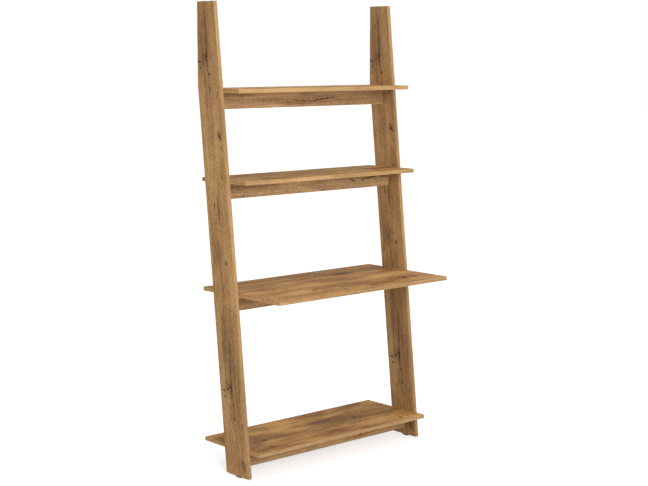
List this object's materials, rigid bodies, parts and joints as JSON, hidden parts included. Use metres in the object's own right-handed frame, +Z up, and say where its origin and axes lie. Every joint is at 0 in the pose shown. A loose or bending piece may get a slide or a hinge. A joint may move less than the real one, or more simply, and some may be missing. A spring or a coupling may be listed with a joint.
{
  "type": "ladder shelf with desk",
  "caption": "Wall-leaning ladder shelf with a desk: leaning side boards carry a deep desk top and level shelves, each on a rail below it, that reach back to the wall.",
  "frame": {"origin": "on the floor, at the middle of the width and half-way between the wall and the desk top's front edge", "axes": "+X to the user's right when facing the shelf, +Y towards the wall, +Z up; the wall is the plane y = 0.2375 m"},
  "size_m": [0.95, 0.475, 1.866],
  "materials": {
    "upright_board": "oak decor on chipboard, matt, cracks and knots in the print",
    "shelf_board": "oak decor on chipboard, matt",
    "rail_board": "oak decor on chipboard, matt",
    "edge_band": "oak-printed edge band, satin",
    "dowel_beech": "fluted beech",
    "cam_zinc": "die-cast, dull",
    "fitting_steel": "zinc plated",
    "glide_plastic": "black, matt",
    "bracket_steel": "zinc plated"
  },
  "bodies": {
    "root": {"bottom_cam_bolts": "fitting_steel", "bottom_cam_locks": "cam_zinc", "bottom_dowels": "dowel_beech", "bottom_rail": "rail_board", "bottom_rail_edge_bands": "edge_band", "bottom_shelf": "shelf_board", "bottom_shelf_end_bands": "edge_band", "bottom_shelf_front_band": "edge_band", "bottom_shelf_rear_band": "edge_band", "bracket_screws": "fitting_steel", "desk_cam_bolts": "fitting_steel", "desk_cam_locks": "cam_zinc", "desk_dowels": "dowel_beech", "desk_rail": "rail_board", "desk_rail_edge_bands": "edge_band", "desk_top": "shelf_board", "desk_top_end_bands": "edge_band", "desk_top_front_band": "edge_band", "desk_top_rear_band": "edge_band", "foot_nails": "fitting_steel", "left_foot_glide": "glide_plastic", "left_upright": "upright_board", "left_upright_end_bands": "edge_band", "left_upright_front_band": "edge_band", "left_upright_rear_bands": "edge_band", "left_wall_bracket": "bracket_steel", "right_foot_glide": "glide_plastic", "right_upright": "upright_board", "right_upright_end_bands": "edge_band", "right_upright_front_band": "edge_band", "right_upright_rear_bands": "edge_band", "right_wall_bracket": "bracket_steel", "top_cam_bolts": "fitting_steel", "top_cam_locks": "cam_zinc", "top_dowels": "dowel_beech", "top_rail": "rail_board", "top_rail_edge_bands": "edge_band", "top_shelf": "shelf_board", "top_shelf_end_bands": "edge_band", "top_shelf_front_band": "edge_band", "top_shelf_rear_band": "edge_band", "upper_cam_bolts": "fitting_steel", "upper_cam_locks": "cam_zinc", "upper_dowels": "dowel_beech", "upper_rail": "rail_board", "upper_rail_edge_bands": "edge_band", "upper_shelf": "shelf_board", "upper_shelf_end_bands": "edge_band", "upper_shelf_front_band": "edge_band", "upper_shelf_rear_band": "edge_band"}
  },
  "joints": []
}
